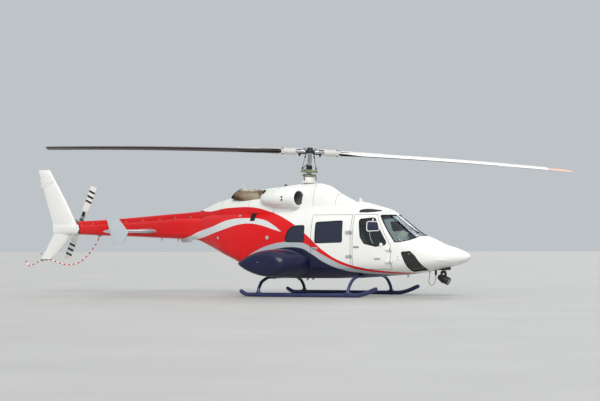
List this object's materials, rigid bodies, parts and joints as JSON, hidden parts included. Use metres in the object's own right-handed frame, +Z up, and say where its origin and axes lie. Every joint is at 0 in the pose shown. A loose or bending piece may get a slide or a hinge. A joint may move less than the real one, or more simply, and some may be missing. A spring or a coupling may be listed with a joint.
{
  "type": "light twin-turbine helicopter",
  "caption": "Light turbine helicopter on skids with a wide-bladed main rotor and a tail rotor that turn, hinged doors, side sponsons, a tail guard and a steerable searchlight.",
  "frame": {"origin": "on the ground, below the middle of the overall box with the rotor as it stands in the picture", "axes": "+X to the nose, +Y to port, +Z up"},
  "size_m": [14.221, 6.3896, 3.6594],
  "materials": {
    "white_paint": "gloss",
    "red_paint": "gloss",
    "navy_paint": "gloss",
    "silver_paint": "satin",
    "skid_paint": "satin",
    "blade_skin": "satin",
    "striped_tube": "satin",
    "dark_glazing": "polished",
    "clear_glazing": "polished",
    "heat_tinted_steel": "heat tinted",
    "machined_alloy": "satin",
    "dark_alloy": "as cast",
    "cabin_trim": "matte",
    "seat_cloth": "woven",
    "black_plastic": "matte",
    "cable_rubber": "matte"
  },
  "bodies": {
    "airframe": {"belly_tub": "navy_paint", "windshield_frame": "white_paint", "cabin_roof": "white_paint", "side_wall_right": "white_paint", "windshield_right": "clear_glazing", "skylight_right": "dark_glazing", "quarter_window_right": "dark_glazing", "chin_window_right": "dark_glazing", "side_wall_left": "white_paint", "windshield_left": "clear_glazing", "skylight_left": "dark_glazing", "quarter_window_left": "dark_glazing", "chin_window_left": "dark_glazing", "nose_cone": "white_paint", "aft_body": "red_paint", "aft_bulkhead": "cabin_trim", "tail_boom": "red_paint", "drive_shaft_cover": "red_paint", "tail_fin": "white_paint", "tail_gearbox": "machined_alloy", "tail_guard": "striped_tube", "tailplane_right": "silver_paint", "end_plate_right": "silver_paint", "tailplane_left": "silver_paint", "end_plate_left": "silver_paint", "sponson_right": "navy_paint", "sponson_left": "navy_paint", "skid_right": "skid_paint", "skid_left": "skid_paint", "cross_tube_front": "skid_paint", "cross_tube_rear": "skid_paint", "pylon_fairing": "white_paint", "exhaust_right": "heat_tinted_steel", "exhaust_left": "heat_tinted_steel", "engine_block": "dark_alloy", "rotor_gearbox": "dark_alloy", "mast_base": "machined_alloy", "crew_seat_right": "seat_cloth", "crew_seat_left": "seat_cloth", "cabin_bench": "seat_cloth", "instrument_panel": "black_plastic", "searchlight_mount": "black_plastic", "searchlight_cable": "cable_rubber"},
    "main_rotor": {"main_rotor_hub": "machined_alloy", "main_blade_1": "blade_skin", "main_blade_2": "blade_skin"},
    "tail_rotor": {"tail_rotor_hub": "machined_alloy", "tail_blade_1": "blade_skin", "tail_blade_2": "blade_skin"},
    "right_crew_door": {"crew_door_right": "white_paint", "crew_door_pane_right": "clear_glazing"},
    "left_crew_door": {"crew_door_left": "white_paint", "crew_door_pane_left": "clear_glazing"},
    "right_cabin_door": {"cabin_door_right": "white_paint", "cabin_door_pane_right": "dark_glazing"},
    "left_cabin_door": {"cabin_door_left": "white_paint", "cabin_door_pane_left": "dark_glazing"},
    "searchlight_bracket": {"searchlight_yoke": "black_plastic"},
    "searchlight_head": {"searchlight_lamp": "black_plastic"}
  },
  "joints": [
    {"name": "main_rotor_spin", "type": "hinge", "parent": "airframe", "child": "main_rotor", "pos_m": [1.27202, 0, 3.486], "axis": [0.0565, 0, 0.9984], "continuous": true},
    {"name": "tail_rotor_spin", "type": "hinge", "parent": "airframe", "child": "tail_rotor", "pos_m": [-5.67798, 0.45, 1.81], "axis": [0, 1, 0], "continuous": true},
    {"name": "right_crew_door_hinge", "type": "hinge", "parent": "airframe", "child": "right_crew_door", "pos_m": [3.74702, -0.8, 1], "axis": [0, 0, 1], "range_deg": [0, 80]},
    {"name": "left_crew_door_hinge", "type": "hinge", "parent": "airframe", "child": "left_crew_door", "pos_m": [3.74702, 0.8, 1], "axis": [0, 0, -1], "range_deg": [0, 80]},
    {"name": "right_cabin_door_hinge", "type": "hinge", "parent": "airframe", "child": "right_cabin_door", "pos_m": [2.71652, -0.812, 1.25], "axis": [0, 0, 1], "range_deg": [0, 80]},
    {"name": "left_cabin_door_hinge", "type": "hinge", "parent": "airframe", "child": "left_cabin_door", "pos_m": [2.71652, 0.812, 1.25], "axis": [0, 0, -1], "range_deg": [0, 80]},
    {"name": "searchlight_pan", "type": "hinge", "parent": "airframe", "child": "searchlight_bracket", "pos_m": [4.77202, 0, 0.59], "axis": [0, 0, 1], "range_deg": [-90, 90]},
    {"name": "searchlight_tilt", "type": "hinge", "parent": "searchlight_bracket", "child": "searchlight_head", "pos_m": [4.77202, 0, 0.415], "axis": [0, 1, 0], "range_deg": [-50, 20]}
  ],
  "couplings": [
    {"joint": "tail_rotor_spin", "follows": "main_rotor_spin", "ratio": -5.4}
  ]
}
